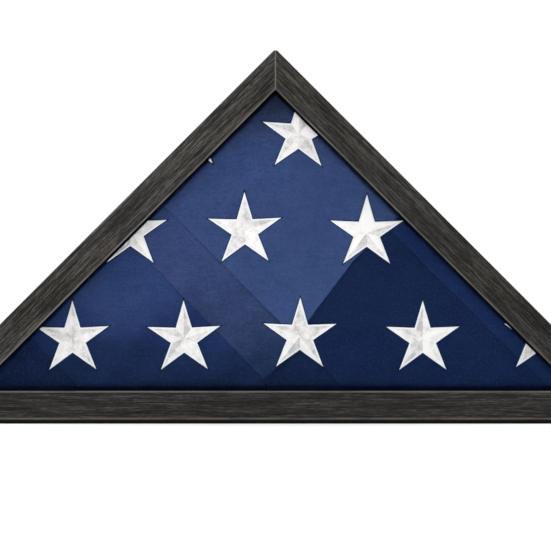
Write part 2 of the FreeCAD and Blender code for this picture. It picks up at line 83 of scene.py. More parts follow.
# ------------------------------------------------------------------ the stars
STAR_R = 34.1 * MM                     # centre to tip
STAR_TIPS = (90, 19, -52.3, -127.3, 161.5)    # directions of the tips, in degrees
STAR_WAIST = 0.358                     # inner corners, as a share of the tips' radius
STAR_EDGE = 9.7 * MM                   # centre to the line of a star's edge
STAR_STEPS = 14                        # points along each edge
# Rings of points, as shares of the outline: the dark edge of painted shadow, the satin border, and the
# facets.
STAR_SHARES = (1.08, 1.0, 0.99, 0.965, 0.93, 0.895, 0.86, 0.84, 0.78, 0.68, 0.56, 0.44, 0.32, 0.2, 0.1)
SATIN_W = 1.5 * MM                     # satin-stitched border of a star
THREAD_H = 0.06 * MM                   # the dark outline stands this far off the cloth

# Centres of the stars and how much each is turned, in millimetres and degrees.
FRONT_STARS = [
    (-179.8, 74.6, 0.3), (-81.1, 74.6, 0.6), (21.6, 77.1, -0.6), (130.4, 74.4, 0.0),
    (234.6, 76.4, -1.5),
    (-128.6, 169.2, -0.5), (-27.2, 170.5, 0.5), (80.8, 168.4, -0.3),
    (-76.7, 257.1, 0.0), (20.6, 255.2, -1.5),
]
BACK_STARS = [
    (-152.0, 78.0, 2.0), (-50.0, 80.0, -3.0), (54.0, 76.0, 1.0), (156.0, 79.0, -2.0),
    (-84.0, 160.0, 1.5), (22.0, 162.0, -1.0),
]

# ------------------------------------------------------------------ camera, light, floor
FIELD_W = 0.4860                       # width of the view at the front of the case
CAMERA_FAR = 2.6                       # camera to the front of the case
CAMERA_Z = 0.1307
WORLD_LIGHT = 0.30                     # strength of the surroundings as light


def make_camera():
    data = bpy.data.cameras.new("camera")
    data.sensor_width = 36.0
    data.lens = data.sensor_width * CAMERA_FAR / FIELD_W
    data.clip_end = 50.0
    camera = bpy.data.objects.new("camera", data)
    camera.location = (0.0, FRONT_Y - CAMERA_FAR, CAMERA_Z)
    camera.rotation_euler = (math.radians(90), 0, 0)
    bpy.context.scene.collection.objects.link(camera)
    bpy.context.scene.camera = camera


def area_light(name, place, target, size, power):
    data = bpy.data.lights.new(name, "AREA")
    data.shape = "DISK"
    data.size = size
    data.energy = power
    lamp = bpy.data.objects.new(name, data)
    lamp.location = place
    lamp.rotation_euler = (Vector(target) - Vector(place)).to_track_quat("-Z", "Y").to_euler()
    bpy.context.scene.collection.objects.link(lamp)


def make_world():
    """Even white surroundings: full white behind the case, and a gentler level as light."""
    world = bpy.data.worlds.new("studio")
    world.use_nodes = True
    nodes, links = world.node_tree.nodes, world.node_tree.links
    background = nodes["Background"]
    background.inputs["Color"].default_value = (1.0, 1.0, 1.0, 1.0)
    level = nodes.new("ShaderNodeMapRange")
    level.inputs["To Min"].default_value = WORLD_LIGHT
    level.inputs["To Max"].default_value = 1.0
    links.new(nodes.new("ShaderNodeLightPath").outputs["Is Camera Ray"], level.inputs["Value"])
    links.new(level.outputs["Result"], background.inputs["Strength"])
    bpy.context.scene.world = world


def make_light():
    """Large soft lamps round the case, each with its place, target, width and power, and a soft sun."""
    middle = (0.0, FRONT_Y, 0.13)
    area_light("key_light", (-1.3, -1.7, 1.6), middle, 1.2, 15.0)
    area_light("fill_light", (1.6, -1.6, 0.7), middle, 1.4, 5.5)
    area_light("back_light", (1.1, 1.9, 1.3), middle, 1.4, 15.0)
    area_light("back_fill", (-1.5, 1.7, 0.8), middle, 1.4, 7.0)
    data = bpy.data.lights.new("overhead", "SUN")
    data.energy = 2.7
    data.angle = math.radians(40)
    overhead = bpy.data.objects.new("overhead", data)
    overhead.rotation_euler = (math.radians(2), 0, 0)
    bpy.context.scene.collection.objects.link(overhead)
    bpy.context.scene.view_settings.view_transform = "Standard"


def make_stage():
    """A plain pale floor that runs out of sight."""
    reach = 30.0
    corners = ((-reach, -reach), (reach, -reach), (reach, reach), (-reach, reach))
    bm = bmesh.new()
    bm.faces.new([bm.verts.new((x, y, 0.0)) for x, y in corners])
    mesh_object("studio_floor", bm, stage_paper())


# ------------------------------------------------------------------ node helpers
def srgb(red, green, blue):
    """Linear colour from 0-255 display values."""
    def linear(value):
        v = value / 255.0
        return v / 12.92 if v <= 0.04045 else ((v + 0.055) / 1.055) ** 2.4
    return (linear(red), linear(green), linear(blue), 1.0)


class Nodes:
    """A material's nodes, with short calls for the kinds that this file uses."""

    def __init__(self, name, roughness=0.6, specular=0.4):
        self.material = bpy.data.materials.new(name)
        self.material.use_nodes = True
        self.tree = self.material.node_tree
        self.shader = self.tree.nodes["Principled BSDF"]
        self.shader.inputs["Roughness"].default_value = roughness
        self.shader.inputs["Specular IOR Level"].default_value = specular

    def add(self, kind, **settings):
        node = self.tree.nodes.new(kind)
        for key, value in settings.items():
            setattr(node, key, value)
        return node

    def feed(self, socket, value):
        if isinstance(value, bpy.types.NodeSocket):
            self.tree.links.new(value, socket)
        else:
            socket.default_value = value

    def place(self):
        return self.add("ShaderNodeTexCoord").outputs["Object"]

    def vector(self, operation, a, b):
        node = self.add("ShaderNodeVectorMath", operation=operation)
        self.feed(node.inputs[0], a)
        self.feed(node.inputs[1], b)
        return node.outputs["Value" if operation == "DOT_PRODUCT" else "Vector"]

    def reach(self, place, direction):
        """Distance of a place along a direction, in mm."""
        return self.vector("DOT_PRODUCT", place, Vector(direction) / MM)

    def math(self, operation, a, b=0.0):
        node = self.add("ShaderNodeMath", operation=operation)
        self.feed(node.inputs[0], a)
        self.feed(node.inputs[1], b)
        return node.outputs[0]

    def weighted(self, *parts):
        """Sum of sockets, each of them times its weight."""
        shares = [self.math("MULTIPLY", socket, weight) for socket, weight in parts]
        total = shares[0]
        for share in shares[1:]:
            total = self.math("ADD", total, share)
        return total

    def beside(self, value, line):
        """How far a value is from a line, on either side."""
        return self.math("ABSOLUTE", self.math("SUBTRACT", value, line))

    def noise(self, vector, scale=1.0, detail=3.0, rough=0.55, distortion=0.0):
        """Noise with one scale, or with one for each axis."""
        if isinstance(scale, tuple):
            vector, scale = self.vector("MULTIPLY", vector, scale), 1.0
        node = self.add("ShaderNodeTexNoise")
        self.feed(node.inputs["Vector"], vector)
        node.inputs["Scale"].default_value = scale
        node.inputs["Detail"].default_value = detail
        node.inputs["Roughness"].default_value = rough
        node.inputs["Distortion"].default_value = distortion
        return node.outputs["Fac"]

    def wave(self, vector, pitch, direction, distortion):
        """Bands about one pitch apart, or 1.4 pitches when they run across the diagonal."""
        node = self.add("ShaderNodeTexWave", bands_direction=direction, wave_profile="SIN")
        self.feed(node.inputs["Vector"], vector)
        node.inputs["Scale"].default_value = 1 / (math.pi * pitch)
        node.inputs["Distortion"].default_value = distortion
        return node.outputs["Fac"]

    def span(self, value, low, high, to_low=0.0, to_high=1.0, smooth=True):
        """Maps value from low..high to to_low..to_high, held at the ends."""
        node = self.add("ShaderNodeMapRange")
        node.interpolation_type = "SMOOTHSTEP" if smooth else "LINEAR"
        for name, number in zip(("Value", "From Min", "From Max", "To Min", "To Max"),
                                (value, low, high, to_low, to_high)):
            self.feed(node.inputs[name], number)
        return node.outputs["Result"]

    def ramp(self, value, stops):
        """Colours a value by stops of (position, colour)."""
        node = self.add("ShaderNodeValToRGB")
        self.feed(node.inputs["Fac"], value)
        elements = node.color_ramp.elements
        while len(elements) < len(stops):
            elements.new(0.5)
        for element, (position, colour) in zip(elements, stops):
            element.position = position
            element.color = colour
        return node.outputs["Color"]

    def mix(self, share, a, b, blend="MIX"):
        """Goes from colour a to colour b. The node's colour sockets are inputs 6 and 7 and output 2."""
        node = self.add("ShaderNodeMix", data_type="RGBA", blend_type=blend)
        self.feed(node.inputs["Factor"], share)
        self.feed(node.inputs[6], a)
        self.feed(node.inputs[7], b)
        return node.outputs[2]

    def colour(self, value):
        self.feed(self.shader.inputs["Base Color"], value)

    def roughness(self, value, low, high):
        """Roughness from low to high as a noise goes from 0.2 to 0.8."""
        self.feed(self.shader.inputs["Roughness"], self.span(value, 0.2, 0.8, low, high, smooth=False))

    def bump(self, height, distance, strength=1.0, below=None):
        """Relief of the surface, on top of the relief below it where that is given."""
        node = self.add("ShaderNodeBump")
        node.inputs["Distance"].default_value = distance
        node.inputs["Strength"].default_value = strength
        self.feed(node.inputs["Height"], height)
        if below is not None:
            self.feed(node.inputs["Normal"], below)
        self.feed(self.shader.inputs["Normal"], node.outputs["Normal"])
        return node.outputs["Normal"]


# ------------------------------------------------------------------ materials
INNER_EDGE_LINE = 0.65                      # mm from a face's inner edge to the line of wear and painted highlight along it
OUTER_EDGE_LINE = 2.7                       # and from its outer edge


def stage_paper():
    n = Nodes("stage_paper", 0.9, 0.1)
    tooth = n.noise(n.place(), scale=220.0, detail=2.0)
    n.colour(n.ramp(tooth, [(0.3, (0.91, 0.91, 0.905, 1.0)), (0.7, (0.93, 0.93, 0.925, 1.0))]))
    return n.material


def inset_sockets(n):
    """Distance in mm from the left slope, the right slope and the base, as sockets."""
    place = n.place()
    sockets = []
    for side in (1, -1):
        slope = n.reach(place, Vector((side, 0, -1)) / ROOT2)
        sockets.append(n.math("ADD", slope, (HALF + FOOT_Z) / ROOT2 / MM))
    sockets.append(n.math("SUBTRACT", n.reach(place, (0, 0, 1)), FOOT_Z / MM))
    return sockets


def grain_places(n, place, along, side, inset, depth):
    """Places in mm along the grain, in from the edge and to the rear: straight ones and bent ones.

    Each side's places are moved apart, so that no two rails show the same grain.
    """
    combine = n.add("ShaderNodeCombineXYZ")
    for socket, value in zip(combine.inputs, (n.reach(place, along), inset, depth)):
        n.feed(socket, value)
    apart = (37.0 * (side + 1), 11.0 * side, 5.0)
    straight = n.vector("ADD", combine.outputs[0], apart)
    wander = n.noise(straight, (0.004, 0.02, 0.02), detail=1.0)
    bend = n.add("ShaderNodeCombineXYZ")
    n.feed(bend.inputs["Y"], n.math("MULTIPLY", wander, 9.0))
    return straight, n.vector("ADD", straight, bend.outputs[0])


def edge_wear_and_highlight(n, place, straight, side, inset, depth, face_w, outer_wear_and_highlight):
    """How worn the wood is along the inner and outer edges of its face, where the lighter line is also a
    painted highlight, and at the mitre on top.
    """
    rub = n.span(n.noise(straight, (0.05, 0.2, 0.2), detail=2.0), 0.3, 0.6, 0.45, 1.0)
    front = n.span(depth, FRONT_Y / MM + 5.0, FRONT_Y / MM + 2.0)
    inner = n.span(n.beside(inset, face_w / MM - INNER_EDGE_LINE), 1.05, 0.35)
    outer = n.span(n.beside(inset, OUTER_EDGE_LINE), 1.2, 0.3)
    wear_and_highlight = n.math("MAXIMUM", n.math("MULTIPLY", inner, front), n.math("MULTIPLY", outer, outer_wear_and_highlight))
    wear_and_highlight = n.math("MULTIPLY", wear_and_highlight, rub)
    if side != BASE:
        mitre = n.math("ABSOLUTE", n.reach(place, (1, 0, 0)))
        wear_and_highlight = n.math("MAXIMUM", wear_and_highlight, n.span(mitre, 0.9, 0.2))
    return wear_and_highlight


def charcoal_wood(name, along, side, face_w, tone, across=1.9, contrast=1.4, dim=(0.0, 0.0), outer_wear_and_highlight=0.0):
    """Wire-brushed charcoal stain, with edges lighter from wear and from painted highlight, and painted
    shade under the base.

    The grain runs along one direction. across is how fine it is square to that, dim is the share of
    black at the bottom and at the top of the case, and the last argument sets the wear and painted
    highlight along the outer edge.
    """
    n = Nodes(name, 0.66, 0.2)
    place = n.place()
    inset = inset_sockets(n)[side]
    depth = n.reach(place, (0, 1, 0))
    straight, bent = grain_places(n, place, along, side, inset, depth)
    fine = n.noise(bent, (0.034, across, across), detail=4.0, rough=0.75)
    flecks = n.noise(bent, (0.17, across * 0.8, across * 0.8), detail=3.0, rough=0.7)
    bands = n.noise(bent, (0.014, 0.34, 0.34), detail=2.0)
    broad = n.noise(straight, (0.012, 0.03, 0.03), detail=2.0)
    pores = n.noise(bent, (0.10, 2.6, 2.6), detail=2.0, rough=0.5)

    def stain(red, green, blue):
        return tuple(c * tone for c in srgb(red, green, blue)[:3]) + (1.0,)

    value = n.weighted((fine, 0.55), (bands, 0.18), (flecks, 0.27))
    value = n.math("ADD", n.math("MULTIPLY", n.math("SUBTRACT", value, 0.5), contrast), 0.5)
    colour = n.ramp(value, [(0.39, stain(18, 17, 15)), (0.46, stain(48, 46, 43)),
                            (0.53, stain(77, 75, 71)), (0.60, stain(131, 127, 120))])
    warm = n.span(broad, 0.52, 0.68, 0.0, 0.45)
    colour = n.mix(warm, colour, (1.10, 0.97, 0.88, 1.0), "MULTIPLY")
    crack = n.span(pores, 0.33, 0.24, 0.0, 0.75)
    colour = n.mix(crack, colour, stain(24, 23, 22))
    # Lighter lines along the face's edges, partly wear and partly painted highlight, and wear at the mitre.
    wear_and_highlight = edge_wear_and_highlight(n, place, straight, side, inset, depth, face_w, outer_wear_and_highlight)
    colour = n.mix(n.math("MULTIPLY", wear_and_highlight, 0.9), colour, stain(160, 154, 147))
    # Painted shade on the base's rounded lower edge, which faces down.
    if side == BASE:
        painted_underside_shade = n.span(inset, 1.9, 1.1, 0.0, 0.95)
        colour = n.mix(painted_underside_shade, colour, stain(10, 10, 10))
    shade = n.span(n.reach(place, (0, 0, 1)), 40.0, 320.0, *dim, smooth=False)
    colour = n.mix(shade, colour, (0.0, 0.0, 0.0, 1.0))
    behind_face = n.span(depth, FRONT_Y / MM + 2.0, FRONT_Y / MM + 12.0, 0.0, 0.45)
    n.colour(n.mix(behind_face, colour, stain(58, 56, 54)))
    n.roughness(fine, 0.75, 0.56)
    relief = n.math("SUBTRACT", n.math("MULTIPLY", fine, 0.7), n.math("MULTIPLY", crack, 0.6))
    n.bump(relief, 0.35 * MM, 0.8)
    return n.material


def cloth_tone(n, place, cloudy, stops, painted_light_spot):
    """Colour by height, with an uneven edge from one tone to the next, and a painted pool of light where one
    is given.
    """
    height = n.reach(place, (0, 0, 1))
    drift = n.math("ADD", height, n.span(cloudy, 0.3, 0.7, -16.0, 16.0, smooth=False))
    low, high = stops[0][0], stops[-1][0]
    share = n.span(drift, low, high, smooth=False)
    colour = n.ramp(share, [((z - low) / (high - low), srgb(*tone)) for z, tone in stops])
    if painted_light_spot is None:
        return colour
    # Painted pool of light round the given point.
    (x, z, radius), tone, amount = painted_light_spot
    away = n.vector("SUBTRACT", place, (x * MM, 0, z * MM))
    away = n.vector("MULTIPLY", away, (1 / (radius * MM), 0, 1 / (radius * MM)))
    length = n.add("ShaderNodeVectorMath", operation="LENGTH")
    n.feed(length.inputs[0], away)
    return n.mix(n.span(length.outputs["Value"], 1.0, 0.0, 0.0, amount), colour, srgb(*tone))


def shaded_rim(n, colour):
    """Darkens the cloth beside the rails."""
    left, right, base = inset_sockets(n)
    rim = n.math("SUBTRACT", n.math("MINIMUM", left, right), SIDE_FACE / MM)
    rim = n.math("MINIMUM", rim, n.math("SUBTRACT", base, BASE_FACE / MM))
    return n.mix(n.span(rim, 2.0, 0.3, 0.0, 0.75), colour, srgb(5, 7, 16))


def flag_cloth(name, stops, painted_light_spot=None):
    """Navy cotton bunting: tone by height, soft mottling, and a fine plain weave.

    stops are (height in mm, tone), and the light spot, a painted pool of light, is ((x, z, radius) in mm,
    tone, strength).
    """
    n = Nodes(name, 0.9, 0.04)
    place = n.place()
    cloudy = n.noise(place, (18.0, 4.0, 22.0), detail=3.0, rough=0.6)
    mottle = n.noise(place, (70.0, 10.0, 90.0), detail=4.0, rough=0.65)
    grain = n.noise(place, (520.0, 250.0, 560.0), detail=3.0, rough=0.75)
    slub = n.noise(place, (90.0, 40.0, 620.0), detail=2.0, rough=0.6)
    fleck = n.noise(place, (640.0, 300.0, 480.0), detail=2.0, rough=0.7)
    colour = cloth_tone(n, place, cloudy, stops, painted_light_spot)
    for pattern, low, high, most, tint in ((mottle, 0.35, 0.65, 0.45, (1.26, 1.22, 1.14)),
                                           (cloudy, 0.40, 0.62, 0.60, (1.22, 1.20, 1.15)),
                                           (grain, 0.38, 0.62, 0.80, (0.70, 0.74, 0.80)),
                                           (slub, 0.52, 0.68, 0.50, (1.30, 1.26, 1.20))):
        colour = n.mix(n.span(pattern, low, high, 0.0, most), colour, (*tint, 1.0), "MULTIPLY")
    colour = n.mix(n.span(fleck, 0.50, 0.72, 0.0, 0.09), colour, srgb(96, 112, 156))
    n.colour(shaded_rim(n, colour))
    n.feed(n.shader.inputs["Sheen Weight"], 0.03)
    n.feed(n.shader.inputs["Sheen Roughness"], 0.5)
    n.feed(n.shader.inputs["Sheen Tint"], (0.55, 0.65, 1.0, 1.0))
    warp, weft = (n.wave(place, 0.55 * MM, axis, 0.4) for axis in "XZ")
    weave = n.math("ADD", n.math("MULTIPLY", warp, weft), n.math("MULTIPLY", grain, 0.3))
    soft = n.bump(mottle, 0.5 * MM, 0.35)
    n.bump(weave, 0.03 * MM, 0.3, soft)
    return n.material


def star_thread():
    """White embroidery thread: satin stitches square to each edge, with painted shading, a grey tone for
    every facet.

    The map "stitch" gives the distance along an edge and in from it, in mm.
    """
    n = Nodes("star_thread", 0.6, 0.35)
    stitch = n.add("ShaderNodeUVMap", uv_map="stitch").outputs["UV"]
    # Painted shading: the random grey of each facet.
    tone = n.add("ShaderNodeAttribute", attribute_name="painted_facet_shade").outputs["Fac"]
    place = n.place()
    patch = n.noise(place, (125.0, 20.0, 125.0), detail=3.0, rough=0.6)
    fleck = n.noise(place, (620.0, 60.0, 620.0), detail=2.0)
    value = n.weighted((tone, 0.29), (patch, 0.64), (fleck, 0.28))
    colour = n.ramp(value, [(0.41, srgb(194, 193, 193)), (0.57, srgb(235, 233, 232)),
                            (0.72, srgb(254, 253, 252))])
    separate = n.add("ShaderNodeSeparateXYZ")
    n.feed(separate.inputs[0], stitch)
    border = n.span(separate.outputs["Y"], 1.9, 1.2)
    n.colour(n.mix(n.math("MULTIPLY", border, 0.95), colour, srgb(243, 248, 255)))
    n.feed(n.shader.inputs["Sheen Weight"], 0.1)
    soft = n.bump(patch, 0.4 * MM, 0.4)
    n.bump(n.wave(stitch, 0.62, "X", 1.5), 0.14 * MM, 0.6, soft)
    return n.material


# A dark ring round each star: painted shadow at the star's edge.
def painted_star_shadow():
    n = Nodes("painted_star_shadow", 0.9, 0.1)
    fleck = n.noise(n.place(), scale=900.0, detail=2.0)
    n.colour(n.ramp(fleck, [(0.3, srgb(9, 12, 26)), (0.7, srgb(22, 28, 50))]))
    n.bump(fleck, 0.1 * MM)
    return n.material


def clear_glass():
    """Anti-reflection glass: clear to the lamps and seen straight on, with a faint gloss from the side."""
    n = Nodes("clear_glass", 0.02, 0.5)
    n.colour((1.0, 1.0, 1.0, 1.0))
    n.feed(n.shader.inputs["Transmission Weight"], 1.0)
    n.feed(n.shader.inputs["IOR"], 1.05)
    path = n.add("ShaderNodeLightPath")
    through = n.math("MAXIMUM", path.outputs["Is Shadow Ray"], path.outputs["Is Diffuse Ray"])
    facing = n.add("ShaderNodeLayerWeight").outputs["Facing"]
    through = n.math("MAXIMUM", through, n.span(facing, 0.30, 0.05))
    clear = n.add("ShaderNodeBsdfTransparent")
    either = n.add("ShaderNodeMixShader")
    n.feed(either.inputs[0], through)
    n.feed(either.inputs[1], n.shader.outputs[0])
    n.feed(either.inputs[2], clear.outputs[0])
    output = n.tree.nodes["Material Output"]
    n.feed(output.inputs["Surface"], either.outputs[0])
    return n.material


def bare_pine():
    n = Nodes("bare_pine", 0.7, 0.3)
    grain = n.noise(n.place(), (60.0, 900.0, 900.0), detail=3.0, distortion=0.4)
    n.colour(n.ramp(grain, [(0.3, srgb(168, 132, 88)), (0.5, srgb(201, 168, 120)),
                            (0.7, srgb(219, 190, 146))]))
    n.roughness(grain, 0.8, 0.6)
    n.bump(grain, 0.15 * MM)
    return n.material


def stained_bead():
    n = Nodes("stained_bead", 0.7, 0.25)
    grain = n.noise(n.place(), (180.0, 700.0, 180.0), detail=3.0)
    n.colour(n.ramp(grain, [(0.3, srgb(16, 15, 15)), (0.7, srgb(40, 39, 37))]))
    n.bump(grain, 0.15 * MM)
    return n.material


def painted_board():
    """Hardboard painted black: a fine orange-peel skin with rubbed patches."""
    n = Nodes("painted_board", 0.62, 0.35)
    place = n.place()
    skin = n.noise(place, scale=900.0, detail=2.0)
    patch = n.noise(place, scale=22.0, detail=4.0, rough=0.65)
    fibre = n.noise(place, (420.0, 420.0, 60.0), detail=2.0)
    colour = n.ramp(patch, [(0.35, srgb(30, 29, 28)), (0.6, srgb(42, 41, 39)), (0.75, srgb(52, 50, 47))])
    n.colour(n.mix(n.span(fibre, 0.55, 0.75, 0.0, 0.5), colour, srgb(62, 58, 53)))
    n.roughness(patch, 0.5, 0.78)
    n.bump(n.math("ADD", skin, n.math("MULTIPLY", fibre, 0.6)), 0.12 * MM, 0.7)
    return n.material


def metal(name, dark, light, smoothest, roughest, scales):
    """Plated metal with rolling marks, handling marks and a slightly uneven tone."""
    n = Nodes(name, 0.3, 0.5)
    n.feed(n.shader.inputs["Metallic"], 1.0)
    place = n.place()
    lines = n.noise(place, scales, detail=3.0, rough=0.6)
    haze = n.noise(place, scale=260.0, detail=3.0, rough=0.6)
    n.colour(n.ramp(haze, [(0.3, (*dark, 1.0)), (0.7, (*light, 1.0))]))
    n.roughness(n.weighted((lines, 0.6), (haze, 0.4)), smoothest, roughest)
    n.bump(lines, 0.02 * MM, 0.5)
    return n.material


def rubber():
    n = Nodes("bumper_rubber", 0.7, 0.35)
    fleck = n.noise(n.place(), scale=1400.0, detail=2.0)
    bloom = n.noise(n.place(), scale=180.0, detail=3.0)
    n.colour(n.ramp(bloom, [(0.35, srgb(28, 28, 28)), (0.7, srgb(52, 52, 51))]))
    n.roughness(bloom, 0.6, 0.85)
    n.bump(fleck, 0.08 * MM, 0.6)
    return n.material


def felt():
    n = Nodes("black_felt", 0.95, 0.1)
    place = n.place()
    fibre = n.noise(place, scale=1500.0, detail=3.0, rough=0.7, distortion=1.5)
    clump = n.noise(place, scale=260.0, detail=2.0)
    colour = n.ramp(fibre, [(0.3, srgb(6, 6, 7)), (0.75, srgb(26, 26, 28))])
    n.colour(n.mix(n.span(clump, 0.4, 0.7, 0.0, 0.5), colour, srgb(20, 20, 21)))
    n.feed(n.shader.inputs["Sheen Weight"], 0.15)
    n.bump(fibre, 0.3 * MM, 0.9)
    return n.material


def webbing():
    """Black twill webbing: slanting ribs crossed by finer threads."""
    n = Nodes("black_webbing", 0.8, 0.25)
    place = n.place()
    slant = n.vector("MULTIPLY", place, (1.0, 0.0, 1.0))
    ribs = n.wave(slant, 1.1 * MM, "DIAGONAL", 0.6)
    threads = n.wave(place, 0.45 * MM, "Z", 0.3)
    both = n.weighted((ribs, 0.7), (threads, 0.3))
    n.colour(n.ramp(both, [(0.2, srgb(16, 16, 18)), (0.8, srgb(48, 48, 52))]))
    n.bump(both, 0.25 * MM, 0.9)
    return n.material


def make_woods():
    """The stain of the left, right and base rails, with the grain along each. Each rail's tone is partly
    painted light: the left rail lighter and the right one darker, as if lit from the upper left.
    """
    up_left = Vector((1, 0, 1)) / ROOT2
    up_right = Vector((-1, 0, 1)) / ROOT2
    level = Vector((1, 0, 0))
    return (charcoal_wood("charcoal_wood_left", up_left, LEFT, SIDE_FACE, 0.54, dim=(0.0, 0.16)),
            charcoal_wood("charcoal_wood_right", up_right, RIGHT, SIDE_FACE, 0.42, contrast=1.35,
                          dim=(0.26, 0.0)),
            charcoal_wood("charcoal_wood_base", level, BASE, BASE_FACE, 0.375, across=1.4, contrast=0.95,
                          outer_wear_and_highlight=0.9))


def dress_frame():
    """Gives every CAD node its finish."""
    steel = metal("zinc_steel", (0.42, 0.43, 0.45), (0.62, 0.63, 0.64), 0.24, 0.46, (300, 1500, 300))
    brass = metal("satin_brass", (0.52, 0.36, 0.13), (0.74, 0.54, 0.23), 0.26, 0.5, (260, 1500, 1500))
    nickel = metal("nickel", (0.55, 0.53, 0.50), (0.72, 0.70, 0.67), 0.16, 0.34, (700, 700, 700))
    left_wood, right_wood, base_wood = make_woods()
    bead = stained_bead()
    finish = {
        "face_rail_left": left_wood, "side_board_left": left_wood,
        "face_rail_right": right_wood, "side_board_right": right_wood,
        "face_rail_base": base_wood, "base_board": base_wood,
        "wall_bumpers": rubber(), "glass_pane": clear_glass(), "catch_block": bare_pine(),
        "catch_magnet": nickel, "base_felt": felt(), "back_panel": painted_board(),
        "pull_tab": webbing(), "pull_tab_rivet": brass,
    }
    for node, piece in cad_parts.items():
        default = steel
        if node.startswith("glass_bead"):
            default = bead
        elif node.startswith("hinge"):
            default = brass
        piece.data.materials.clear()
        piece.data.materials.append(finish.get(node, default))


# ------------------------------------------------------------------ mesh helpers
def mesh_object(name, bm, *materials):
    mesh = bpy.data.meshes.new(name)
    bm.to_mesh(mesh)
    bm.free()
    for material in materials:
        mesh.materials.append(material)
    piece = bpy.data.objects.new(name, mesh)
    bpy.context.scene.collection.objects.link(piece)
    return piece


def smooth_step(value, low, high):
    """Goes smoothly from 0 at low to 1 at high, and is held at the ends."""
    t = min(max((value - low) / (high - low), 0.0), 1.0)
    return t * t * (3 - 2 * t)


def insets(x, z):
    """Distances from the left slope, the right slope and the base."""
    return (x + HALF - z + FOOT_Z) / ROOT2, (HALF - x - z + FOOT_Z) / ROOT2, z - FOOT_Z


def crown_reach(x, z):
    """Distance inside the foot of the flag's crown, negative outside it."""
    left, right, base = insets(x, z)
    return min(left - CROWN_SIDE, right - CROWN_SIDE, base - CROWN_BASE)


def swell(x, z, size, seed):
    """Smooth noise from -1 to 1 with features of the given size."""
    return noise.noise(Vector((x / size + seed, seed * 1.7, z / size)))


def spoke(degrees, length):
    """A vector upright in the case's plane, turned from +X towards +Z."""
    angle = math.radians(degrees)
    return Vector((math.cos(angle), 0, math.sin(angle))) * length


def roll(reach, width, drop):
    """How far a rounded edge has fallen back at a distance inside it."""
    if reach >= width:
        return 0.0
    share = 1 - max(reach, 0.0) / width
    return drop * (1 - math.sqrt(max(1 - share * share, 0.0)))


def front_y(x, z):
    """The lowest fold that the glass shows: fullest in the middle, and rounded at the edges."""
    reach = crown_reach(x, z)
    inset = min(insets(x, z)) - FLAG_INSET
    y = LEVEL_Y + roll(reach, ROLL_W, ROLL_D) + 0.7 * MM * smooth_step(reach, 45 * MM, 0)
    y += 0.35 * MM * swell(x, z, 55 * MM, 3.1) + 0.12 * MM * swell(x, z, 18 * MM, 7.7)
    if reach < 0:
        y = max(y, LEVEL_Y + ROLL_D + 0.3 * MM)
    return y + roll(inset, 2.6 * MM, 5.0 * MM)


def back_y(x, z):
    """The rear of the flag, pressed in below the corner block."""
    inset = min(insets(x, z)) - FLAG_INSET
    y = BACK_Y - roll(inset, 9 * MM, 8 * MM)
    y -= 0.6 * MM + 0.6 * MM * swell(x, z, 60 * MM, 11.3) + 0.2 * MM * swell(x, z, 20 * MM, 5.2)
    dent = smooth_step(z, block_lo.z - 16 * MM, block_lo.z - 4 * MM)
    return y - dent * (BACK_Y - block_lo.y + 2.5 * MM)


def cut(bm, point, normal, clear):
    """Cuts a flat mesh along a line, and clears what lies on the normal's side."""
    geometry = bm.verts[:] + bm.edges[:] + bm.faces[:]
    bmesh.ops.bisect_plane(bm, geom=geometry, plane_co=point, plane_no=normal, clear_outer=clear, dist=1e-7)


def crown_lines():
    """A point and outward normal for each side of the crown's foot."""
    yield Vector((0, 0, FOOT_Z + CROWN_BASE)), Vector((0, 0, -1))
    peak = Vector((0, 0, APEX_Z - CROWN_SIDE * ROOT2))
    yield peak, Vector((-1, 0, 1)) / ROOT2
    yield peak, Vector((1, 0, 1)) / ROOT2


def face_towards(bm, direction):
    """Turns every face of an open skin to one side."""
    bm.normal_update()
    for face in bm.faces:
        if face.normal.dot(direction) < 0:
            face.normal_flip()


def flat_grid(points, step):
    """A flat square mesh that covers some points."""
    low_x, low_z = min(p.x for p in points), min(p.z for p in points)
    across = math.ceil((max(p.x for p in points) - low_x) / step)
    up = math.ceil((max(p.z for p in points) - low_z) / step)
    bm = bmesh.new()
    rows = []
    for k in range(up + 1):
        rows.append([bm.verts.new((low_x + i * step, 0, low_z + k * step)) for i in range(across + 1)])
    for low, high in zip(rows, rows[1:]):
        for i in range(across):
            bm.faces.new((low[i], low[i + 1], high[i + 1], high[i]))
    return bm


def fold_wander(place, points, folds, bend):
    """How far the nearby folds stray from their straight lines beside a point."""
    wander = Vector((0, 0, 0))
    for i, (point, normal) in enumerate(folds):
        along = (place - points[i + 1]).dot(Vector((-normal.z, 0, normal.x)))
        away = (point - place).dot(normal)
        waver = noise.noise(Vector((along / (16 * MM), i * 5.3, 0.4))) * math.exp(-away / (5 * MM))
        wander -= normal * 0.35 * MM * waver
        if bend is not None and bend[0] == i:
            wander += normal * max(along - bend[1] * MM, 0.0) * bend[2]
    return wander


def fold_distance(x, z, folds):
    """Distance inside the nearest fold."""
    return min(normal.x * (point.x - x) + normal.z * (point.z - z) for point, normal in folds)


def edge_lines(points):
    """A point and an outward normal for each edge of an outline."""
    lines = []
    for i, point in enumerate(points):
        run = (points[(i + 1) % len(points)] - point).normalized()
        lines.append((point, Vector((-run.z, 0, run.x))))
    return lines


def cut_patch(points, lines, folds, side):
    """A flat patch of cloth, with close rows of points where it will be rounded."""
    bm = flat_grid(points, 4 * MM)
    for point, normal in lines:
        cut(bm, point, normal, True)
    for point, normal in folds:
        for back in FOLD_ROWS:
            cut(bm, point - normal * back * MM, normal, False)
    past_foot, rows = (1.3, FOOT_ROWS) if side < 0 else (5.0, ())
    for point, normal in crown_lines():
        cut(bm, point + normal * past_foot * MM, normal, True)
        for back in rows:
            cut(bm, point - normal * back * MM, normal, False)
    return bm


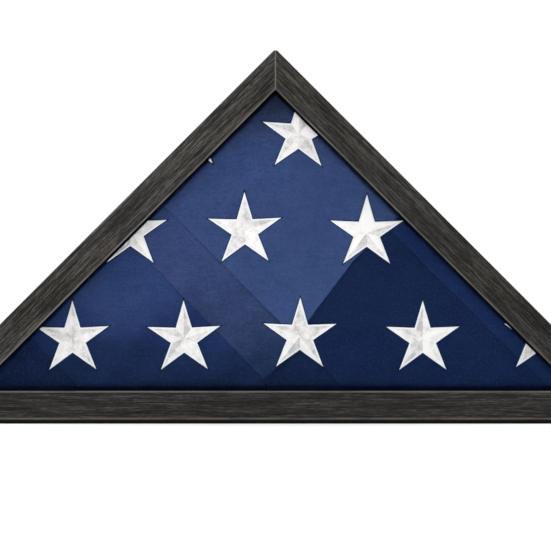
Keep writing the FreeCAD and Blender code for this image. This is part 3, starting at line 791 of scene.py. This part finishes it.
def make_flap(name, corners, shown, level, material, side=-1, ripple=None, bend=None):
    """One pressed fold of the flag: a convex patch whose first edges show as rounded folds.

    corners are (x, z) in mm, clockwise seen from the front. The first `shown` edges are folds, and
    the others run on under the frame or a higher fold. level counts the layers of cloth up to this
    one. side is -1 on the front and 1 on the back. ripple is a function for extra height. bend is
    (fold, distance, slope): where a fold turns outwards, in mm back from its last corner, and how
    steeply.
    """
    points = [Vector((x * MM, 0, z * MM)) for x, z in corners]
    lines = edge_lines(points)
    folds = lines[:shown]
    bm = cut_patch(points, lines, folds, side)
    for v in bm.verts:
        away = fold_distance(v.co.x, v.co.z, folds)
        v.co += fold_wander(v.co, points, folds, bend) * math.exp(-away / (30 * MM))
        x, z = v.co.x, v.co.z
        lift = LAYER - roll(away, 1.0 * MM, LAYER) + 0.22 * MM * math.exp(-away / (3.0 * MM))
        if ripple is not None:
            lift += ripple(x, z)
        held = smooth_step(crown_reach(x, z), -1.0 * MM, 2.5 * MM) if side < 0 else 1.0
        under = front_y(x, z) if side < 0 else back_y(x, z)
        v.co.y = under + side * held * ((level - 1) * LAYER + lift)
    bmesh.ops.triangulate(bm, faces=[f for f in bm.faces if len(f.verts) > 4])
    for face in bm.faces:
        face.smooth = True
    face_towards(bm, Vector((0, side, 0)))
    bmesh.ops.solidify(bm, geom=bm.faces[:], thickness=LAYER * 1.15)
    piece = mesh_object(name, bm, material)
    wear_flag(piece)
    return piece


def wear_flag(piece):
    """Puts a piece of the flag on its body."""
    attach(piece, BODY)


def ring_points(inset):
    """Points round the flag's outline at an inset, with rounded corners."""
    r = max(FLAG_CORNER_R - inset * 0.04, 0.5 * MM)
    total = FLAG_INSET + inset + r
    half = HALF - total * (ROOT2 + 1)
    foot = FOOT_Z + total
    corners = [Vector((-half, 0, foot)), Vector((half, 0, foot)), Vector((0, 0, foot + half))]
    turns = [(135.0, 270.0, 90), (270.0, 405.0, 70), (45.0, 135.0, 70)]
    ring = []
    for i, (start, end, count) in enumerate(turns):
        corner, after = corners[i], corners[(i + 1) % 3]
        for k in range(9):
            ring.append(corner + spoke(start + (end - start) * k / 8, r))
        for k in range(1, count):
            ring.append(corner.lerp(after, k / count) + spoke(end, r))
    return ring


def ring_steps():
    """Insets of the rings on the flag's front and back: close at the rim, then even."""
    inradius = (HALF - FLAG_INSET * (ROOT2 + 1)) * (ROOT2 - 1) - 7.5 * MM
    near = [0, 0.4, 1, 1.8, 3, 4.5, 6, 7, 7.6, 8.2, 8.9, 9.8, 10.8, 11.4, 12, 12.8, 14, 16, 19, 23, 28]
    far = [28 + 5.5 * k for k in range(1, 16)]
    return [s * MM for s in near + far if s * MM < inradius - 2 * MM]


def side_ring(bm, share):
    """A ring round the flag's sides, part of the way to the back, in and out with the layers."""
    ring = []
    for p in ring_points(0.0):
        y0, y1 = front_y(p.x, p.z), back_y(p.x, p.z)
        layers = 0.35 * MM * math.sin(share * 60) + 0.5 * MM * swell(p.x + p.z, share * 0.05, 12 * MM, 2.2)
        inward = Vector((0, 0, FLAG_MIDDLE_Z)) - p
        rear = Vector((0, y0 + (y1 - y0) * share, 0))
        ring.append(bm.verts.new(p + inward.normalized() * abs(layers) + rear))
    return ring


def join_rings(bm, rings):
    """Faces between each ring and the next."""
    for ring, after in zip(rings, rings[1:]):
        for i in range(len(ring)):
            k = (i + 1) % len(ring)
            bm.faces.new((ring[i], ring[k], after[k], after[i]))


def close_ring(bm, ring, y_of):
    """Faces from a ring to a point in its middle."""
    centre = sum((v.co for v in ring), Vector()) / len(ring)
    middle = bm.verts.new((centre.x, y_of(centre.x, centre.z), centre.z))
    for i in range(len(ring)):
        bm.faces.new((ring[i], ring[(i + 1) % len(ring)], middle))


def make_flag_body():
    """The thick folded triangle, as rings from the middle of its front to the middle of its back."""
    bm = bmesh.new()
    rings = []
    for s in reversed(ring_steps()):
        rings.append([bm.verts.new((p.x, front_y(p.x, p.z), p.z)) for p in ring_points(s)])
    for share in (0.08, 0.2, 0.35, 0.5, 0.65, 0.8, 0.92):
        rings.append(side_ring(bm, share))
    for s in ring_steps():
        rings.append([bm.verts.new((p.x, back_y(p.x, p.z), p.z)) for p in ring_points(s)])
    join_rings(bm, rings)
    close_ring(bm, rings[0], front_y)
    close_ring(bm, rings[-1], back_y)
    bmesh.ops.recalc_face_normals(bm, faces=bm.faces)
    for face in bm.faces:
        face.smooth = True
    # Painted shading: the deepest cloth is darker towards the bottom.
    deep = flag_cloth("cotton_deep", [(30, (17, 31, 61)), (80, (20, 36, 71)), (200, (34, 48, 88))])
    body = mesh_object("flag_body", bm, deep)
    wear_flag(body)
    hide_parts("folded_flag")
    return body


def make_front_flaps():
    """The folds that show through the glass, lowest first."""
    # Painted light and shade on one navy cloth: each fold's colour stops are lighter where the light fell
    # and darker towards the bottom and the right, with a painted pool of light on the left fold and painted
    # shade under the apex on the top fold.
    left = flag_cloth("cotton_left", [(30, (18, 34, 64)), (64, (24, 41, 78)), (84, (30, 46, 90)),
                                      (130, (43, 62, 106)), (190, (45, 61, 104))],
                      painted_light_spot=((-141, 103, 46), (51, 69, 112), 0.6))
    right = flag_cloth("cotton_right", [(30, (17, 34, 71)), (90, (18, 34, 69)), (200, (17, 32, 64))])
    edge = flag_cloth("cotton_edge", [(30, (19, 38, 75)), (100, (23, 42, 83)), (190, (21, 39, 79))])
    band = flag_cloth("cotton_band", [(30, (20, 36, 66)), (60, (36, 52, 87)), (84, (43, 57, 94)),
                                      (130, (52, 67, 108)), (200, (50, 66, 110))])
    top = flag_cloth("cotton_top", [(70, (54, 76, 119)), (140, (53, 72, 115)), (215, (51, 69, 112)),
                                    (232, (51, 70, 114)), (262, (47, 62, 99)), (285, (33, 39, 62))])

    def wrinkles(x, z):
        """A patch of small wrinkles round (-47, 120) mm."""
        near = math.exp(-((x + 47 * MM) ** 2 / (20 * MM) ** 2 + (z - 120 * MM) ** 2 / (13 * MM) ** 2))
        return 0.30 * MM * near * math.sin((z - 0.35 * x) / (2.2 * MM))

    def crease(x, z):
        """A level crease left of the middle, below which the cloth stands out a little."""
        bend = smooth_step(z, 229 * MM, 226 * MM) * 0.28 * MM
        return bend * smooth_step(x, 20 * MM, -20 * MM)

    return [
        make_flap("flag_fold_left",
                  [(-160.9, 16), (-292, 158), (-120, 240), (0, 240), (-3, 60), (-12, 16)], 1, 1, left),
        make_flap("flag_fold_right",
                  [(76, 12), (17.6, 76), (20, 230), (100, 260), (330, 200), (330, 12)], 1, 1, right),
        make_flap("flag_fold_edge",
                  [(262.8, 10), (90, 182.8), (110, 230), (330, 60), (330, 10)], 1, 2, edge),
        make_flap("flag_fold_band",
                  [(21.1, 65.1), (-10.9, 38.7), (-148, 181), (-148, 230), (19, 230), (19, 80)],
                  2, 2, band, ripple=wrinkles),
        make_flap("flag_fold_top",
                  [(168.6, 275), (17.6, 75.7), (-140, 233.3), (-140, 320), (180, 320)],
                  2, 3, top, ripple=crease, bend=(0, 86, 0.14)),
    ]


def make_back_flaps():
    """The last turns of the folding, which show when the back is open."""
    tuck = flag_cloth("cotton_tuck", [(30, (24, 38, 74)), (120, (36, 52, 92)), (260, (48, 64, 106))])
    under = flag_cloth("cotton_under", [(30, (20, 33, 64)), (120, (30, 45, 84)), (260, (42, 57, 98))])
    return [
        make_flap("flag_back_under",
                  [(170, 10), (-330, 10), (-70, 270), (20, 300), (150, 60)], 1, 1, under, side=1),
        make_flap("flag_back_tuck",
                  [(40, 10), (-40, 90), (90, 300), (330, 70), (330, 10)], 2, 2, tuck, side=1),
    ]


def star_outline(turn):
    """Points round a star at the origin, each with the number of its edge."""
    corners = []
    for i, angle in enumerate(STAR_TIPS):
        after = STAR_TIPS[(i + 1) % 5]
        between = (angle + (after if after < angle else after - 360)) / 2
        corners += [spoke(angle + turn, STAR_R), spoke(between + turn, STAR_R * STAR_WAIST)]
    points = []
    for i, corner in enumerate(corners):
        after = corners[(i + 1) % 10]
        points += [(corner.lerp(after, k / STAR_STEPS), i) for k in range(STAR_STEPS)]
    return points


def star_height(share):
    """Height of the thread over the cloth, at a share of the way from a star's centre to its edge."""
    inward = (1 - share) * STAR_EDGE
    if inward <= 0:
        return THREAD_H
    bead = math.sin(math.pi * min(inward / SATIN_W, 1.0)) * 0.42 * MM
    fill = smooth_step(inward, 0, SATIN_W) * 0.34 * MM + 0.05 * MM * inward / SATIN_W
    return bead + fill + THREAD_H


def star_rings(bm, high, outline, x, z):
    """Rings of points from a star's dark outline of painted shadow in to its middle, and the middle."""
    centre = Vector((x * MM, 0, z * MM))
    rings = []
    for share in STAR_SHARES:
        ring = []
        for p, _ in outline:
            wobble = 0.22 * MM * noise.noise(Vector((p.x / MM * 0.35 + x, z, p.z / MM * 0.35)))
            v = bm.verts.new(centre + p * share + p.normalized() * wobble)
            v[high] = star_height(share)
            ring.append(v)
        rings.append(ring)
    middle = bm.verts.new(centre)
    middle[high] = star_height(0.0)
    return rings, middle


def map_stitches(face, uv, centre, outline, edge):
    """Maps a facet by the distance in mm along its edge and in from it, with a shift for each edge."""
    start = outline[edge * STAR_STEPS][0]
    end = outline[((edge + 1) % 10) * STAR_STEPS][0]
    run = (end - start).normalized()
    for loop in face.loops:
        p = loop.vert.co - centre - start
        loop[uv].uv = (p.dot(run) / MM + 97.0 * edge, abs(p.cross(run).y) / MM)


def star_mesh(x, z, turn):
    """A flat star with its heights, its stitch map and a random grey tone for each of its ten facets, as
    painted shading.

    The random draw starts from the star's place, so that every star keeps its own tones.
    """
    outline = star_outline(turn)
    centre = Vector((x * MM, 0, z * MM))
    bm = bmesh.new()
    uv = bm.loops.layers.uv.new("stitch")
    tone = bm.faces.layers.float.new("painted_facet_shade")
    high = bm.verts.layers.float.new("high")
    rings, middle = star_rings(bm, high, outline, x, z)
    draw = random.Random(round(x * 10) + 7919 * round(z))
    # A random painted shade for each facet.
    facet_shades = [draw.random() for _ in range(10)]
    for ring, after in zip(rings, rings[1:] + [None]):
        for i, (_, edge) in enumerate(outline):
            k = (i + 1) % len(ring)
            inner = (middle,) if after is None else (after[k], after[i])
            face = bm.faces.new((ring[i], ring[k], *inner))
            map_stitches(face, uv, centre, outline, edge)
            face[tone] = facet_shades[edge]
            # The outermost ring takes the painted shadow.
            face.material_index = 1 if ring is rings[0] else 0
            face.smooth = True
    return bm, high


def make_star(name, x, z, turn, surface, side, threads):
    """An embroidered star laid on a surface: a dark outline of painted shadow, a raised satin border and ten
    facets.
    """
    bm, high = star_mesh(x, z, turn)
    short_of_foot = 0.6 if side < 0 else 4.0
    for point, normal in crown_lines():
        cut(bm, point - normal * short_of_foot * MM, normal, True)
    lay_over(bm, surface, side)
    for v in bm.verts:
        v.co.y += side * v[high]
    face_towards(bm, Vector((0, side, 0)))
    bmesh.ops.solidify(bm, geom=bm.faces[:], thickness=0.35 * MM)
    wear_flag(mesh_object(name, bm, *threads))


def lay_over(bm, surface, side):
    """Lays flat stiff cloth over a surface, so that it bridges the steps at the folds."""
    floor = {v: side * surface(v.co.x, v.co.z) for v in bm.verts}
    level = dict(floor)
    beside = {v: [edge.other_vert(v) for edge in v.link_edges] for v in bm.verts}
    for _ in range(30):
        level = {v: max(floor[v], sum(level[n] for n in near) / len(near)) for v, near in beside.items()}
    for v in bm.verts:
        v.co.y = side * level[v]


def surface_of(pieces, side):
    """A function for the outermost y of some pieces at (x, z)."""
    trees = []
    for piece in pieces:
        bm = bmesh.new()
        bm.from_mesh(piece.data)
        trees.append(BVHTree.FromBMesh(bm))
        bm.free()

    def at(x, z):
        hits = [tree.ray_cast(Vector((x, side, z)), Vector((0, -side, 0)))[0] for tree in trees]
        return side * max(hit.y * side for hit in hits if hit is not None)

    return at


def make_stars(places, pieces, side, label, threads):
    surface = surface_of(pieces, side)
    for i, (x, z, turn) in enumerate(places):
        make_star(f"flag_star_{label}_{i + 1:02d}", x, z, turn, surface, side, threads)


def make_flag():
    body = make_flag_body()
    threads = (star_thread(), painted_star_shadow())
    make_stars(FRONT_STARS, [body] + make_front_flaps(), -1, "front", threads)
    make_stars(BACK_STARS, [body] + make_back_flaps(), 1, "back", threads)


make_camera()
make_world()
make_light()
make_stage()
dress_frame()
make_flag()
